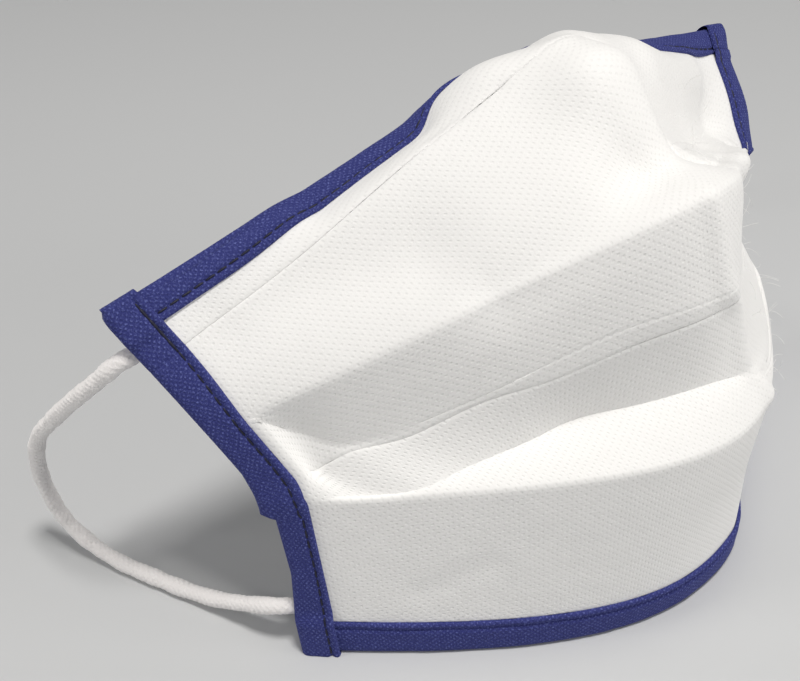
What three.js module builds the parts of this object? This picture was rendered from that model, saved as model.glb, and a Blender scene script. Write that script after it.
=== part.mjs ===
// Pleated cloth face mask with bound edges and two elastic ear loops, standing on its hem.
// Millimetres. The mask faces -Y, its hollow opens towards +Y, and +Z is up.

import * as THREE from 'three';

// Thicknesses and clearances
const CLOTH_WALL = 1.0;
const TAPE_WALL = 1.0;
const CLEARANCE = 0.3;
const ELASTIC_DIAMETER = 3.4;

// Width of binding tape that shows on each face of the mask
const TOP_TAPE = 7.4;
const SIDE_TAPE = 8;
const HEM_TAPE = 7.2;

// Right side edge: the top corner, the bend where the lower pleat ends, and the foot on the floor
const TOP_CORNER = new THREE.Vector3(87, 37.6, 78);
const SIDE_BEND = new THREE.Vector3(71.3, 12.1, 38);
const FOOT_CORNER = new THREE.Vector3(72, 9.1, 0);
const BEND_SOFTNESS = 6;
const UPPER_SIDE = TOP_CORNER.distanceTo(SIDE_BEND);
const SIDE_LENGTH = UPPER_SIDE + SIDE_BEND.distanceTo(FOOT_CORNER);

// Cloth from the middle of the mask to its side edge, measured along a fold
const HALF_WIDTH = 92;

// Edges and ridges across the mask, from top to bottom. Each leaves the side edge at a distance
// from the top corner, reaches its point at the middle, and turns there more or less roundly.
const RIDGES = {
  topEdge: { along: 0, middleY: 29.8, middleZ: 95.8, roundness: 0.12 },
  noseFold: { along: 14, middleY: 10.2, middleZ: 109.4, roundness: 0.07 },
  upperRidge: { along: 30, middleY: -26.8, middleZ: 94.3, roundness: 0.22 },
  lowerRidge: { along: 48.5, middleY: -39.39, middleZ: 46.3, roundness: 0.4 },
  hem: { along: SIDE_LENGTH, middleY: -34.9, middleZ: 0, roundness: 0.85 },
};

// Valleys of the pleats. Each also leaves the side edge at a distance from the top corner, and from
// the binding on it opens behind its ridge and below it, at stations that run from the side edge,
// where the share is 1, to the middle of the mask, where it is 0.
const VALLEYS = {
  upperValley: {
    ridge: 'upperRidge',
    along: 31.4,
    stations: [
      { share: 0.83, back: 0.5, below: 9.3 },
      { share: 0.74, back: 0, below: 17.4 },
      { share: 0.5, back: -1, below: 19 },
      { share: 0.25, back: -2, below: 17.6 },
      { share: 0, back: -4, below: 19.5 },
    ],
  },
  pressedCrease: {
    ridge: 'upperRidge',
    along: 45.6,
    stations: [
      { share: 0.79, back: 0.5, below: 20.2 },
      { share: 0.63, back: -0.5, below: 21.6 },
      { share: 0.48, back: -1, below: 21.2 },
      { share: 0.2, back: -2.4, below: 22.3 },
      { share: 0, back: -4, below: 23 },
    ],
  },
  lowerValley: {
    ridge: 'lowerRidge',
    along: 47,
    stations: [
      { share: 0.8, back: 1.6, below: 0.6 },
      { share: 0.7, back: 1.8, below: -0.4 },
      { share: 0.57, back: 6.3, below: -1.9 },
      { share: 0.43, back: 10.6, below: -3.2 },
      { share: 0.29, back: 14.2, below: -4.3 },
      { share: 0, back: 13.4, below: -4 },
    ],
  },
};

// Panels between one fold and the next: how many strips each is made of beside its tape, how far
// its middle swells forwards and upwards, how high it rolls over the nose, and how deep its cheeks
// sink
const PANELS = [
  { from: 'topEdge', to: 'noseFold', strips: 2, forwards: 0, upwards: 0, roll: 4.6, cheeks: 0 },
  { from: 'noseFold', to: 'upperRidge', strips: 4, forwards: 1, upwards: 1.5, roll: 0, cheeks: 4 },
  { from: 'upperRidge', to: 'upperValley', strips: 2, forwards: 0, upwards: 0, roll: 0, cheeks: 0 },
  { from: 'upperValley', to: 'pressedCrease', strips: 1, forwards: 0, upwards: 0, roll: 0, cheeks: 0 },
  { from: 'pressedCrease', to: 'lowerValley', strips: 2, forwards: 0, upwards: 0, roll: 0, cheeks: 0 },
  { from: 'lowerValley', to: 'lowerRidge', strips: 2, forwards: 0, upwards: 0.6, roll: 0, cheeks: 0 },
  { from: 'lowerRidge', to: 'hem', strips: 3, forwards: 0.4, upwards: 0, roll: 0, cheeks: 0 },
];
const CHEEK_SHARE = 0.58;
const ROLL_FULL_SHARE = 0.14;
const ROLL_END_SHARE = 0.33;
const COLUMNS_PER_HALF = 18;
const EVEN_COLUMNS = 0.4;

// Left ear loop: it leaves the side binding near the top corner, sinks to the floor behind the
// mask, and comes back along the floor to the foot of the binding
const LOOP_ROUTE = [
  [-84.5, 33, 68.2],
  [-85.8, 34.4, 66.7],
  [-88.5, 39, 63],
  [-92, 47.5, 55.5],
  [-94, 57, 46],
  [-95.3, 64, 37.5],
  [-95.8, 68, 30],
  [-95.6, 70.3, 22],
  [-95, 70, 14.5],
  [-94, 67.5, 8.5],
  [-92, 62, 4.2],
  [-89.3, 54, 2.3],
  [-86, 45.5, 2.1],
  [-82.8, 37.5, 2.2],
  [-79.8, 30, 3.3],
  [-77, 22, 6.5],
  [-74.4, 13.4, 10.8],
  [-72.8, 11.2, 11.5],
];
const LOOP_STEPS = 40;
const LOOP_SIDES = 10;

const WHITE_CLOTH = { color: 0xf2f1ee, roughness: 0.9, metalness: 0 };
const NAVY_TAPE = { color: 0x2b3070, roughness: 0.8, metalness: 0 };
const WHITE_ELASTIC = { color: 0xf3eeec, roughness: 0.95, metalness: 0 };

// A tape is bent over the edge of the cloth. Its stops run inwards from the fold: the fold itself,
// the bare edge of the cloth, the middle of the tape and its inner edge. The fold is rounded by
// drawing its first stops in to a share of the tape's full thickness.
const BARE_EDGE = TAPE_WALL + CLEARANCE;
const SLOT_STOP = TAPE_WALL / BARE_EDGE;
const INNER_STOP = 3;
const OUTER_STOPS = [
  { stop: INNER_STOP, thickness: 1 },
  { stop: 2, thickness: 1 },
  { stop: 1, thickness: 0.9 },
  { stop: 0, thickness: 0.55 },
];
const tapeStops = (width) => [0, BARE_EDGE, width / 2, width];

const bindingShare = 1 - SIDE_TAPE / HALF_WIDTH;
const steepestFold = 0.6;

function easeBetween(start, end, value) {
  return THREE.MathUtils.smoothstep((value - start) / (end - start), 0, 1);
}

// A point of the right side edge, at a distance from the top corner, with its bend softened
function sideEdgePoint(along) {
  const past = along - UPPER_SIDE;
  const upper = (along + UPPER_SIDE - Math.hypot(past, BEND_SOFTNESS)) / 2;
  const upperWay = SIDE_BEND.clone().sub(TOP_CORNER).normalize();
  const lowerWay = FOOT_CORNER.clone().sub(SIDE_BEND).normalize();
  return TOP_CORNER.clone().addScaledVector(upperWay, upper).addScaledVector(lowerWay, along - upper);
}

// A point of a ridge on the right half, at a share of the way from the middle to the side edge
function ridgePoint(name, share) {
  const { along, middleY, middleZ, roundness } = RIDGES[name];
  const side = sideEdgePoint(along);
  const fall = Math.hypot(1, roundness) - Math.hypot(share, roundness);
  const rise = fall / (Math.hypot(1, roundness) - roundness);
  const y = THREE.MathUtils.lerp(side.y, middleY, rise);
  const z = THREE.MathUtils.lerp(side.z, middleZ, rise);
  return new THREE.Vector3(side.x * share, y, z);
}

// A point of a valley: flat under the binding, then set off from its ridge from station to station
function valleyPoint(name, share) {
  const { ridge, along, stations } = VALLEYS[name];
  const flat = sideEdgePoint(along).sub(sideEdgePoint(RIDGES[ridge].along));
  const places = [
    { at: bindingShare, offset: flat },
    ...stations.map((station) => (
      { at: station.share, offset: new THREE.Vector3(0, station.back, -station.below) })),
  ];
  const inner = Math.max(1, places.findIndex((place) => place.at <= share));
  const [before, after] = [places[inner - 1], places[inner]];
  const part = Math.max(0, (before.at - share) / (before.at - after.at));
  return ridgePoint(ridge, share).add(before.offset.lerp(after.offset, part));
}

function foldPoint(name, share) {
  return name in VALLEYS ? valleyPoint(name, share) : ridgePoint(name, share);
}

// A point of a panel, at shares of the way down it and out from the middle of the mask
function panelPoint(panel, down, signedShare) {
  const share = Math.abs(signedShare);
  const arch = 4 * down * (1 - down);
  const swell = arch * (1 - share ** 2) ** 2;
  const cheek = easeBetween(bindingShare, CHEEK_SHARE, share) * easeBetween(0, CHEEK_SHARE, share);
  const sink = arch * cheek * panel.cheeks;
  const roll = arch * (1 - easeBetween(ROLL_FULL_SHARE, ROLL_END_SHARE, share)) * panel.roll;
  const point = foldPoint(panel.from, share).lerp(foldPoint(panel.to, share), down);
  point.y += sink - swell * panel.forwards;
  point.z += swell * panel.upwards + roll - sink;
  if (signedShare < 0) point.x *= -1;
  return point;
}

// Length of cloth down a panel, at a share of the way out from the middle
function panelLength(panel, share) {
  const line = [0, 0.25, 0.5, 0.75, 1].map((down) => panelPoint(panel, down, share));
  return line.slice(1).reduce((sum, point, step) => sum + point.distanceTo(line[step]), 0);
}

// Rows of the cloth grid from the top edge to the hem, with a row at each stop of the two tapes
function clothRows() {
  const top = PANELS[0];
  const bottom = PANELS.at(-1);
  const fromTop = (inwards, share) => inwards / panelLength(top, share);
  const fromHem = (inwards, share) => 1 - inwards / panelLength(bottom, share);
  const topRows = tapeStops(TOP_TAPE).slice(0, INNER_STOP).map((inwards) => (
    { panel: top, down: (share) => fromTop(inwards, share) }));
  const hemRows = tapeStops(HEM_TAPE).reverse().map((inwards) => (
    { panel: bottom, down: (share) => fromHem(inwards, share) }));
  const openRows = PANELS.flatMap((panel) => Array.from({ length: panel.strips }, (_, strip) => {
    const start = (share) => (panel === top ? fromTop(TOP_TAPE, share) : 0);
    const end = (share) => (panel === bottom ? fromHem(HEM_TAPE, share) : 1);
    const part = strip / panel.strips;
    return { panel, down: (share) => THREE.MathUtils.lerp(start(share), end(share), part) };
  }));
  return [...topRows, ...openRows, ...hemRows];
}

// Columns of the cloth grid from the left side edge to the right one, as shares of the half width,
// closer together at the binding and in the middle, where the pleats open and the ridges turn
function clothColumns() {
  const half = tapeStops(SIDE_TAPE).map((inwards) => 1 - inwards / HALF_WIDTH);
  for (let step = 1; step < COLUMNS_PER_HALF; step += 1) {
    const even = 1 - step / COLUMNS_PER_HALF;
    const crowded = (1 - Math.cos(Math.PI * even)) / 2;
    half.push(bindingShare * THREE.MathUtils.lerp(crowded, even, EVEN_COLUMNS));
  }
  return [...half.map((share) => -share), 0, ...half.reverse()];
}

const rows = clothRows();
const columns = clothColumns();
const lastRow = rows.length - 1;
const lastColumn = columns.length - 1;
const grid = columns.map((share) =>
  rows.map((row) => panelPoint(row.panel, row.down(Math.abs(share)), share)));

// Forward normal of the cloth between two columns and two rows
function facetNormal(column, row) {
  const across = grid[column + 1][row + 1].clone().sub(grid[column][row]);
  const down = grid[column][row + 1].clone().sub(grid[column + 1][row]);
  return down.cross(across).normalize();
}

// Forward offset of the cloth at a grid point, lengthened at a fold so that the wall keeps its
// thickness
function clothNormal(column, row) {
  const stripNormal = (stripRow) => {
    const sum = new THREE.Vector3();
    for (const facet of [column - 1, column]) {
      if (facet >= 0 && facet < lastColumn) sum.add(facetNormal(facet, stripRow));
    }
    return sum.normalize();
  };
  const above = stripNormal(Math.max(row - 1, 0));
  const below = stripNormal(Math.min(row, lastRow - 1));
  const normal = above.clone().add(below).normalize();
  return normal.divideScalar(Math.max(normal.dot(above), steepestFold));
}

const normals = columns.map((_, column) => rows.map((__, row) => clothNormal(column, row)));

function offsetPoint(column, row, offset) {
  return grid[column][row].clone().addScaledVector(normals[column][row], offset);
}

// A closed wall through sections that each have an outer and an inner line of points
function wallGeometry(sections) {
  const rings = sections.map(({ outer, inner }) => [...outer, ...inner.toReversed()]);
  const size = rings[0].length;
  const corners = rings.flat();
  const index = [];
  const quad = (a, b, c, d) => {
    const cutsShort = corners[a].distanceTo(corners[c]) < corners[b].distanceTo(corners[d]);
    index.push(...(cutsShort ? [a, b, c, a, c, d] : [a, b, d, b, c, d]));
  };
  const lastRing = (rings.length - 1) * size;
  for (let start = 0; start < lastRing; start += size) {
    for (let side = 0; side < size; side += 1) {
      const next = (side + 1) % size;
      quad(start + side, start + next, start + size + next, start + size + side);
    }
  }
  for (let side = 0; side < size / 2 - 1; side += 1) {
    const across = size - 1 - side;
    quad(side, across, across - 1, side + 1);
    quad(lastRing + side, lastRing + side + 1, lastRing + across - 1, lastRing + across);
  }
  const geometry = new THREE.BufferGeometry();
  const positions = corners.flatMap((point) => point.toArray());
  geometry.setAttribute('position', new THREE.Float32BufferAttribute(positions, 3));
  geometry.setIndex(index);
  geometry.computeVertexNormals();
  return geometry;
}

function mesh(name, geometry, finish) {
  const piece = new THREE.Mesh(geometry, new THREE.MeshStandardMaterial(finish));
  piece.name = name;
  return piece;
}

// White cloth, from just inside one side binding to just inside the other
function maskBody() {
  const sections = [];
  for (let column = 1; column < lastColumn; column += 1) {
    const line = (offset) =>
      rows.slice(1, -1).map((_, row) => offsetPoint(column, row + 1, offset));
    sections.push({ outer: line(CLOTH_WALL / 2), inner: line(-CLOTH_WALL / 2) });
  }
  return mesh('mask_body', wallGeometry(sections), WHITE_CLOTH);
}

// Section of a tape folded over an edge. The place function gives the point at a stop and an
// offset from the cloth, and under is what lies between the tape and the cloth.
function tapeSection(place, under) {
  const inside = CLOTH_WALL / 2 + CLEARANCE + under;
  const outside = inside + TAPE_WALL;
  const outerLeg = (face) =>
    OUTER_STOPS.map(({ stop, thickness }) => place(stop, face * outside * thickness));
  const innerLeg = (face) => [INNER_STOP, 2, 1, SLOT_STOP].map((stop) => place(stop, face * inside));
  return {
    outer: [...outerLeg(1), ...outerLeg(-1).reverse()],
    inner: [...innerLeg(1), ...innerLeg(-1).reverse()],
  };
}

// A point between two stops of a tape, where pointAt gives the point at a whole stop
function betweenStops(pointAt, stop) {
  return pointAt(Math.floor(stop)).lerp(pointAt(Math.ceil(stop)), stop % 1);
}

// A tape along the top edge or the hem, between the folds of the two side bindings. The fold of
// the hem lies flat on the floor.
function crossBinding(name, edgeRow, inwardStep) {
  const sections = [];
  for (let column = 1; column < lastColumn; column += 1) {
    const place = (stop, offset) => {
      const pointAt = (whole) => offsetPoint(column, edgeRow + inwardStep * whole, offset);
      const point = betweenStops(pointAt, stop);
      if (edgeRow === lastRow && stop === 0) point.z = 0;
      return point;
    };
    sections.push(tapeSection(place, 0));
  }
  if (inwardStep > 0) sections.reverse();
  return mesh(name, wallGeometry(sections), NAVY_TAPE);
}

// A tape along a side edge, lifted at both ends over the ends of the top and hem tapes. Its lower
// end stands flat on the floor.
function sideBinding(name, edgeColumn, inwardStep) {
  const sections = rows.map((_, row) => {
    const place = (stop, offset) => {
      const pointAt = (whole) => offsetPoint(edgeColumn + inwardStep * whole, row, offset);
      const point = betweenStops(pointAt, stop);
      if (row === lastRow) point.z = 0;
      return point;
    };
    const overTape = row <= INNER_STOP || row >= lastRow - INNER_STOP;
    return tapeSection(place, overTape ? TAPE_WALL + CLEARANCE : 0);
  });
  if (inwardStep < 0) sections.reverse();
  return mesh(name, wallGeometry(sections), NAVY_TAPE);
}

// A round elastic along the route of the left loop, or its mirror image
function earLoop(name, mirror) {
  const route = LOOP_ROUTE.map(([x, y, z]) => new THREE.Vector3(x * mirror, y, z));
  const section = new THREE.Shape();
  section.absarc(0, 0, ELASTIC_DIAMETER / 2, 0, 2 * Math.PI);
  const geometry = new THREE.ExtrudeGeometry(section, {
    extrudePath: new THREE.CatmullRomCurve3(route),
    steps: LOOP_STEPS,
    curveSegments: LOOP_SIDES / 2,
  });
  return mesh(name, geometry, WHITE_ELASTIC);
}

const group = new THREE.Group();
group.add(
  maskBody(),
  crossBinding('top_binding', 0, 1),
  crossBinding('hem_binding', lastRow, -1),
  sideBinding('side_binding_left', 0, 1),
  sideBinding('side_binding_right', lastColumn, -1),
  earLoop('ear_loop_left', 1),
  earLoop('ear_loop_right', -1),
);

export default group;
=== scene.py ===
# %% [markdown]
# # A pleated cloth face mask
# A mask of white embossed cloth is pulled open and stands on its hem. Navy tape binds its edges,
# and a round elastic loops back from each side. The frame holds every piece at its real size as a
# plain solid, so this lesson loads that frame first and then dresses it, one piece at a time.

# %% The frame
import math

import bpy
import numpy as np
from mathutils import Matrix, Vector, noise


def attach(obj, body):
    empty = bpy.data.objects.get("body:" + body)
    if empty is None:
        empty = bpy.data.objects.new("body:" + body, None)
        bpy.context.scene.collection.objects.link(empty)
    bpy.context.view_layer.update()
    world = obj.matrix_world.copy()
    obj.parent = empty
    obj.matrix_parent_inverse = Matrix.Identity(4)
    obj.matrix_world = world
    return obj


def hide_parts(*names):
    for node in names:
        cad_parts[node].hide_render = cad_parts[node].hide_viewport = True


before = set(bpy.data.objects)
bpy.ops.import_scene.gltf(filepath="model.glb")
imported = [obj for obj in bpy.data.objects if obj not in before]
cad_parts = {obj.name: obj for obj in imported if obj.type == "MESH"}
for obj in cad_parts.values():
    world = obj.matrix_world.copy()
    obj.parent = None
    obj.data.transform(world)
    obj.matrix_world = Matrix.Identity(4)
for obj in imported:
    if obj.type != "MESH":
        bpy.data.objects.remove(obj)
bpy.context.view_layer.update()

MM = 0.001
print("pieces in the frame:", ", ".join(sorted(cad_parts)))

# %% [markdown]
# ## The camera
# The photograph looks down on the left cheek of the mask from close by, so near things are drawn
# much larger than far ones. A camera is placed by the point it looks at, the way it is turned and
# its distance. Its focal length is known in pixels, and Blender wants it for a 36 mm sensor.

# %% The camera
PHOTO_WIDTH_PX = 800
FOCAL_LENGTH_PX = 1197.4
SENSOR_WIDTH = 36
NEAREST_SEEN = 10
LOOKS_AT = (-26.22, 28.97, 45.0)
CAMERA_DISTANCE = 256.3
CAMERA_AZIMUTH = -38.31
CAMERA_ELEVATION = 37.57
CAMERA_ROLL = -3.32


def turn(degrees, axis):
    return Matrix.Rotation(math.radians(degrees), 4, axis)


camera_data = bpy.data.cameras.new("photo_camera")
camera_data.sensor_width = SENSOR_WIDTH
camera_data.lens = FOCAL_LENGTH_PX / PHOTO_WIDTH_PX * SENSOR_WIDTH
camera_data.clip_start = NEAREST_SEEN * MM
camera = bpy.data.objects.new("photo_camera", camera_data)
camera.matrix_world = (
    Matrix.Translation(Vector(LOOKS_AT) * MM)
    @ turn(CAMERA_AZIMUTH, "Z")
    @ turn(90 - CAMERA_ELEVATION, "X")
    @ turn(CAMERA_ROLL, "Z")
    @ Matrix.Translation((0, 0, CAMERA_DISTANCE * MM))
)
bpy.context.scene.collection.objects.link(camera)
bpy.context.scene.camera = camera
print(f"camera: {camera_data.lens:.1f} mm lens")

# %% [markdown]
# ## Lines
# Elastics, folds and seams all start as lines. Blender's own curves could draw them, but the cloth
# is worked out from such lines too, so here a line is an array with a point in each row. The
# helpers work on whole arrays, because a loop over thousands of points is slow.

# %% Lines
CURVE_STEPS = 24


def unit(vectors):
    return vectors / np.maximum(np.linalg.norm(vectors, axis=-1, keepdims=True), 1e-12)


def ease(start, end, value):
    """0 up to start, 1 from end on, and smooth between the two."""
    share = np.clip((value - start) / (end - start), 0, 1)
    return share * share * (3 - 2 * share)


def distances(line):
    """Distance of each point of a line from its start."""
    steps = np.linalg.norm(np.diff(line, axis=0), axis=1)
    return np.concatenate([[0], np.cumsum(steps)])


def along(line, wanted):
    """Values of a line at the wanted distances, where its first three columns are a point."""
    run = distances(line[:, :3])
    return np.stack([np.interp(wanted, run, column) for column in line.T], axis=1)


def smooth_line(points, spacing):
    """An evenly spaced line on a smooth curve through the points."""
    points = np.asarray(points, float)
    knots = np.concatenate([[0], np.cumsum(np.sqrt(np.diff(distances(points))))])
    ends = np.vstack([2 * points[0] - points[1], points, 2 * points[-1] - points[-2]])
    end_knots = np.concatenate([[-knots[1]], knots, [2 * knots[-1] - knots[-2]]])
    slopes = np.diff(ends, axis=0) / np.diff(end_knots)[:, None]
    gaps = np.diff(end_knots)
    tangents = (slopes[:-1] * gaps[1:, None] + slopes[1:] * gaps[:-1, None]) / (
        gaps[:-1] + gaps[1:])[:, None]
    drawn = [points[:1]]
    share = np.linspace(0, 1, CURVE_STEPS + 1)[1:, None]
    for start, span in enumerate(np.diff(knots)):
        swing = tangents[start] * span * share * (1 - share) ** 2
        swing = swing - tangents[start + 1] * span * share ** 2 * (1 - share)
        eased = ease(0, 1, share)
        drawn.append(points[start] * (1 - eased) + points[start + 1] * eased + swing)
    line = np.vstack(drawn)
    length = distances(line)[-1]
    return along(line, np.linspace(0, length, max(2, round(length / spacing) + 1)))


test_line = smooth_line([(0, 0, 0), (3, 4, 0)], 1)
print(f"test line: {len(test_line)} points over {distances(test_line)[-1]:.1f} mm")

# %% [markdown]
# ## Tubes and meshes
# Elastics, stitches and loose fibres are tubes along a line. A curve object with a bevel could draw
# them, but a mesh of rings lets the radius change from point to point, which a knitted cord needs.
# Every piece rides the one body of the frame, so the helper that makes a mesh also says so.

# %% Tubes and meshes
START_ASIDE = (0.31, 0.17, 0.94)


def tube(line, radius, sides):
    """Corners and faces of a closed round tube; radius is a number or a value for each corner."""
    ways = unit(np.gradient(line, axis=0))
    across = np.zeros_like(ways)
    side = unit(np.cross(ways[0], START_ASIDE))
    for step, way in enumerate(ways):
        side = unit(side - way * (side @ way))
        across[step] = side
    angles = np.linspace(0, 2 * np.pi, sides, endpoint=False)[None, :, None]
    ring = np.cos(angles) * across[:, None] + np.sin(angles) * np.cross(ways, across)[:, None]
    radius = np.broadcast_to(radius, (len(line), sides))
    corners = (line[:, None] + ring * radius[..., None]).reshape(-1, 3)
    first = np.arange(len(line) - 1)[:, None] * sides + np.arange(sides)
    second = np.arange(len(line) - 1)[:, None] * sides + (np.arange(sides) + 1) % sides
    quads = np.stack([first, second, second + sides, first + sides], axis=-1).reshape(-1, 4)
    last = (len(line) - 1) * sides
    caps = [list(range(sides))[::-1], list(range(last, last + sides))]
    return corners, quads.tolist() + caps


def mesh_piece(name, parts):
    """One object, smooth shaded, from several (corners, faces) in millimetres."""
    corners, faces, start = [], [], 0
    for part_corners, part_faces in parts:
        corners.append(part_corners * MM)
        faces += [[corner + start for corner in face] for face in part_faces]
        start += len(part_corners)
    mesh = bpy.data.meshes.new(name)
    mesh.from_pydata(np.vstack(corners).tolist(), [], faces)
    mesh.shade_smooth()
    piece = bpy.data.objects.new(name, mesh)
    bpy.context.scene.collection.objects.link(piece)
    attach(piece, "root")
    print(f"{name}: {len(mesh.vertices)} corners, {len(mesh.polygons)} faces")
    return piece


test_corners, test_faces = tube(test_line, 1, 8)
print(f"test tube: {len(test_corners)} corners, {len(test_faces)} faces")

# %% [markdown]
# ## The ear loops
# Each loop is a soft round elastic, knitted over rubber, sewn into the outer edge of the side
# binding. It leaves near the top corner, sags to the floor behind the mask and comes back along
# the floor to the foot. The left one shows from end to end, so its route is given point by point,
# and the right one is its mirror image. Knitted stitches make the elastic lumpy, so its
# radius swells and shrinks in staggered rows.

# %% The ear loops
ELASTIC_DIAMETER = 3.4
LOOP_ROUTE = [
    (-80.2, 34.7, 69.7),
    (-82.8, 34.7, 69.1),
    (-86.0, 36.2, 67.6),
    (-88.8, 40.2, 63.0),
    (-92.0, 47.7, 55.1),
    (-94.0, 57.0, 45.4),
    (-95.3, 64.0, 37.5),
    (-95.8, 68.0, 30.0),
    (-95.6, 70.3, 22.0),
    (-95.0, 70.0, 14.5),
    (-94.0, 67.5, 8.5),
    (-92.0, 62.0, 4.2),
    (-89.3, 54.0, 2.3),
    (-86.0, 45.5, 2.1),
    (-82.8, 37.5, 2.2),
    (-79.8, 30.0, 3.3),
    (-77.0, 22.0, 6.5),
    (-73.6, 14.2, 9.8),
    (-71.3, 12.0, 10.1),
    (-69.0, 10.2, 9.7),
]
KNIT_PITCH = 1.4
KNIT_DEPTH = 0.1
KNIT_ROWS = 7
LUMP_SIZE = 3
LUMP_DEPTH = 0.24
LOOP_SIDES = 42
RING_SPACING = 0.22
SEWN_LENGTH = 1.5
SEWN_SHARE = 0.5
SEED_STEP = (7.3, 3.1, 5.7)


def lumps(points, size, seed):
    """Smooth noise from -1 to 1 at each point, with features of the given size."""
    shift = Vector([seed * step for step in SEED_STEP])
    return np.array([noise.noise(Vector(point) / size + shift) for point in points])


def ear_loop(name, node, mirror, seed):
    """A knitted tube on the route, whose sewn ends are pulled thin."""
    line = smooth_line(np.array(LOOP_ROUTE) * (mirror, 1, 1), RING_SPACING)
    run = distances(line)
    turns = np.arange(LOOP_SIDES) / LOOP_SIDES * 2 * np.pi
    knit = np.cos(KNIT_ROWS * turns) * np.cos(2 * np.pi * run[:, None] / KNIT_PITCH)
    lump = lumps(line, LUMP_SIZE, seed)[:, None]
    radius = ELASTIC_DIAMETER / 2 + KNIT_DEPTH * knit + LUMP_DEPTH * lump
    from_end = np.minimum(run, run[-1] - run)
    radius *= SEWN_SHARE + (1 - SEWN_SHARE) * ease(0, SEWN_LENGTH, from_end)[:, None]
    piece = mesh_piece(name, [tube(line, radius, LOOP_SIDES)])
    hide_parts(node)
    print(f"{name}: {run[-1]:.1f} mm of elastic")
    return piece


ear_loops = [
    ear_loop("left_ear_elastic", "ear_loop_left", 1, 1),
    ear_loop("right_ear_elastic", "ear_loop_right", -1, 2),
]

# %% [markdown]
# ## The ridges of the cloth
# The mask is one piece of cloth with pleats, pressed flat and bound, then pulled open by its
# middle. Each ridge is a line from side to side. It leaves the side edge at a known distance from
# the top corner, reaches a known point in the middle and turns there more or less roundly. A
# simulation could open the pleats, but lines that can be measured keep the cloth where it belongs.

# %% The ridges of the cloth
TOP_CORNER = np.array([87, 37.6, 78])
SIDE_BEND = np.array([71.3, 12.1, 38])
FOOT_CORNER = np.array([72, 9.1, 0])
BEND_SOFTNESS = 6
UPPER_SIDE = np.linalg.norm(SIDE_BEND - TOP_CORNER)
SIDE_LENGTH = UPPER_SIDE + np.linalg.norm(FOOT_CORNER - SIDE_BEND)
HALF_WIDTH = 92
RIDGES = {
    "top_edge": dict(along=0, middle_y=29.8, middle_z=95.8, roundness=0.12),
    "nose_fold": dict(along=14, middle_y=10.2, middle_z=109.4, roundness=0.07),
    "upper_ridge": dict(along=30, middle_y=-26.8, middle_z=94.3, roundness=0.22),
    "lower_ridge": dict(along=48.5, middle_y=-39, middle_z=46.3, roundness=0.4),
    "hem": dict(along=SIDE_LENGTH, middle_y=-34.9, middle_z=0, roundness=0.85),
}


def side_edge(distance):
    """The point of the right side edge at a distance from the top corner."""
    past = distance - UPPER_SIDE
    upper = (distance + UPPER_SIDE - math.hypot(past, BEND_SOFTNESS)) / 2
    point = TOP_CORNER + unit(SIDE_BEND - TOP_CORNER) * upper
    return point + unit(FOOT_CORNER - SIDE_BEND) * (distance - upper)


def ridge_line(name, share):
    """Points of a ridge, where share runs from -1 at the left edge to 1 at the right edge."""
    ridge = RIDGES[name]
    side = side_edge(ridge["along"])
    turn_radius = ridge["roundness"]
    rise = (np.hypot(1, turn_radius) - np.hypot(share, turn_radius)) / (
        np.hypot(1, turn_radius) - turn_radius)
    y = side[1] + (ridge["middle_y"] - side[1]) * rise
    z = side[2] + (ridge["middle_z"] - side[2]) * rise
    return np.stack([side[0] * share, y, z], axis=-1)


print(f"side edge: {SIDE_LENGTH:.1f} mm, of which {UPPER_SIDE:.1f} mm lie above the bend")

# %% [markdown]
# ## The valleys under the ridges
# Each pleat hides a valley behind its ridge. Under the binding the pleat is pressed flat. Where it
# comes free the valley drops away from the ridge, so it is described by how far it lies behind the
# ridge and how far below, at a few stations across the mask. The first valley is soft, the second
# is the old pressed crease just below it, and the third makes the shelf above the lower ridge.
# The far half of that shelf has hardly opened.

# %% The valleys under the ridges
SIDE_TAPE = 8
BINDING_SHARE = 1 - SIDE_TAPE / HALF_WIDTH
STATION_SPACING = 0.5


def mirrored(stations):
    """Stations of the left half up to the middle, and the same ones again on the right."""
    return stations + [(-share, back, drop) for share, back, drop in stations[-2::-1]]


VALLEYS = {
    "upper_valley": dict(ridge="upper_ridge", along=31.4, stations=mirrored([
        (-0.815, 2.3, 11), (-0.735, 0.8, 18), (-0.5, -1, 19), (-0.25, -2, 17.6), (0, -4, 19.5)])),
    "pressed_crease": dict(ridge="upper_ridge", along=45.6, stations=mirrored([
        (-0.8, -0.3, 19.5), (-0.74, -0.3, 19.1), (-0.63, -0.5, 21.4), (-0.48, -1, 20.6),
        (-0.36, -1.6, 22.2), (-0.2, -2.4, 22.3), (0, -4, 23)])),
    "lower_valley": dict(ridge="lower_ridge", along=47, stations=[
        (-0.8, 1.4, 0.8), (-0.7, 1.6, -0.4), (-0.57, 6.3, -1.9), (-0.43, 10.6, -3.2),
        (-0.3, 13.6, -4.9), (-0.16, 11.9, -6.3), (0, 8.7, -7.4), (0.12, 6, -5.8),
        (0.24, 3, -3), (0.38, 1.2, -1), (0.7, 0.9, -0.3), (0.8, 0.9, 0.4)]),
}


def valley_line(name, share):
    """Points of a valley, at the offsets of its stations from its ridge."""
    valley = VALLEYS[name]
    flat = side_edge(valley["along"]) - side_edge(RIDGES[valley["ridge"]]["along"])
    middle = [(place * HALF_WIDTH, 0, back, -drop) for place, back, drop in valley["stations"]]
    bound = BINDING_SHARE * HALF_WIDTH
    stations = [(-bound, -flat[0], *flat[1:]), *middle, (bound, *flat)]
    line = smooth_line(stations, STATION_SPACING)
    offset = [np.interp(share * HALF_WIDTH, line[:, 0], column) for column in line.T[1:]]
    return ridge_line(valley["ridge"], share) + np.stack(offset, axis=-1)


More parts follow.
